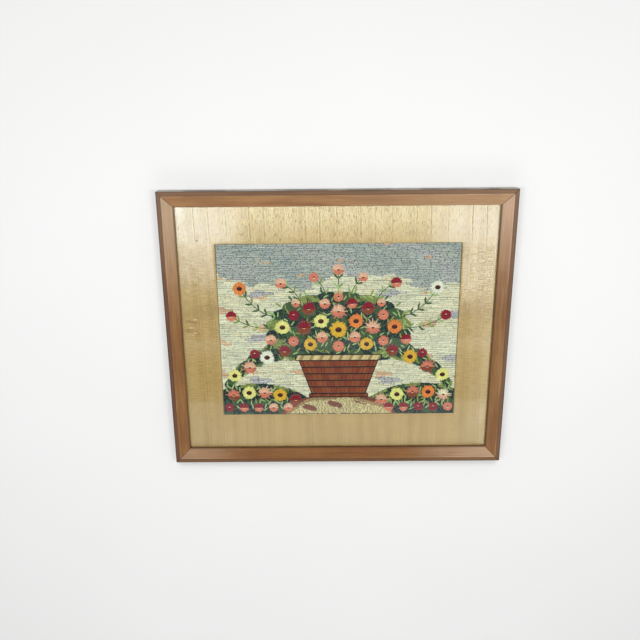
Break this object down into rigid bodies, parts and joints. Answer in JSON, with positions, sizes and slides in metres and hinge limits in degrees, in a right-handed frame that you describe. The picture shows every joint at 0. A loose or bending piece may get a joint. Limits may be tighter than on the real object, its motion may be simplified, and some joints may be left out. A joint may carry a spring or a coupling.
{
  "type": "framed crewel embroidery in a wooden picture frame",
  "caption": "Raised wool crewel embroidery under a silk-covered mat and glass, held in a mitred wooden picture frame with a sloping face.",
  "frame": {"origin": "middle of the back, on the plane where the rails rest", "axes": "+X along the width to the picture's right, +Y up the picture, +Z out of its face"},
  "size_m": [0.6002, 0.4986, 0.022],
  "materials": {
    "frame_wood": "satin brown stain, darker on the outer strip",
    "glass": "clear picture glass",
    "silk": "golden slub silk with paired lines, slight sheen",
    "wool": "matt wool stitches in many colours",
    "backing": "plain brown fibre board"
  },
  "bodies": {
    "root": {"rail_top": "frame_wood", "rail_bottom": "frame_wood", "rail_left": "frame_wood", "rail_right": "frame_wood", "glass": "glass", "silk_mat": "silk", "embroidered_cloth": "wool", "backing_board": "backing"}
  },
  "joints": []
}
